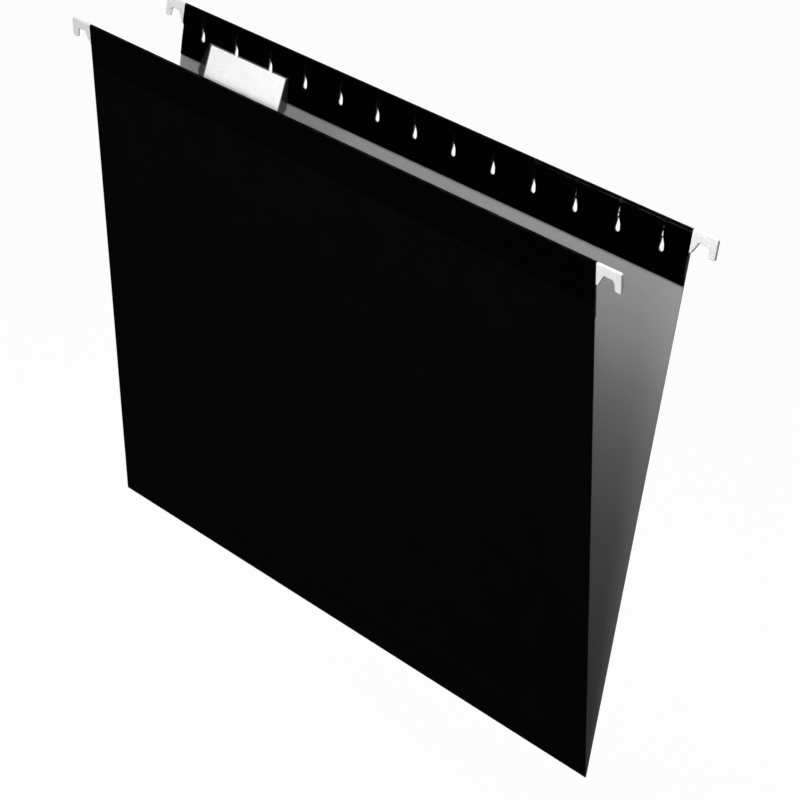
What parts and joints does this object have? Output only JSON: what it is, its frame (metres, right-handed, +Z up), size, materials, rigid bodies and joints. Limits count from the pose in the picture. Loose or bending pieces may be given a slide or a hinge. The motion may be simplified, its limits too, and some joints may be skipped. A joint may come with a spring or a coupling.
{
  "type": "hanging file folder",
  "caption": "V-shaped hanging file folder of black card, grey inside, with coated hooks on steel hanger rods, keyhole slots in its hem and a clear label tab with a blank insert.",
  "frame": {"origin": "middle of the bottom fold, at its lowest point", "axes": "+X along the fold to the right as seen from the front, +Y from the front flap to the back flap, +Z up"},
  "size_m": [0.3236, 0.0536, 0.244],
  "materials": {
    "card": "matte black outside, mid grey inside",
    "rod_steel": "plain rolled strip",
    "hook_coat": "smooth white dip coat",
    "glue": "dried hot-melt line",
    "tab_plastic": "clear",
    "insert_card": "smooth white"
  },
  "bodies": {
    "front": {"front_flap": "card", "front_hanger_rod": "rod_steel", "front_left_hook_coating": "hook_coat", "front_right_hook_coating": "hook_coat", "front_hem_glue": "glue"},
    "back": {"back_flap": "card", "back_hanger_rod": "rod_steel", "back_left_hook_coating": "hook_coat", "back_right_hook_coating": "hook_coat", "back_hem_glue": "glue"},
    "tab": {"label_tab": "tab_plastic"},
    "insert": {"label_insert": "insert_card"}
  },
  "joints": [
    {"name": "bottom_fold", "type": "hinge", "parent": "front", "child": "back", "pos_m": [0, 0, -0.00002], "axis": [-1, 0, 0], "range_deg": [-9.8, 167]},
    {"name": "tab_tilt", "type": "hinge", "parent": "front", "child": "tab", "pos_m": [-0.0565, -0.02495, 0.2234], "axis": [-1, 0, 0], "range_deg": [-20, 13]},
    {"name": "insert_slide", "type": "slide", "parent": "tab", "child": "insert", "axis": [1, 0, 0], "range_m": [-0.045, 0.045]}
  ]
}
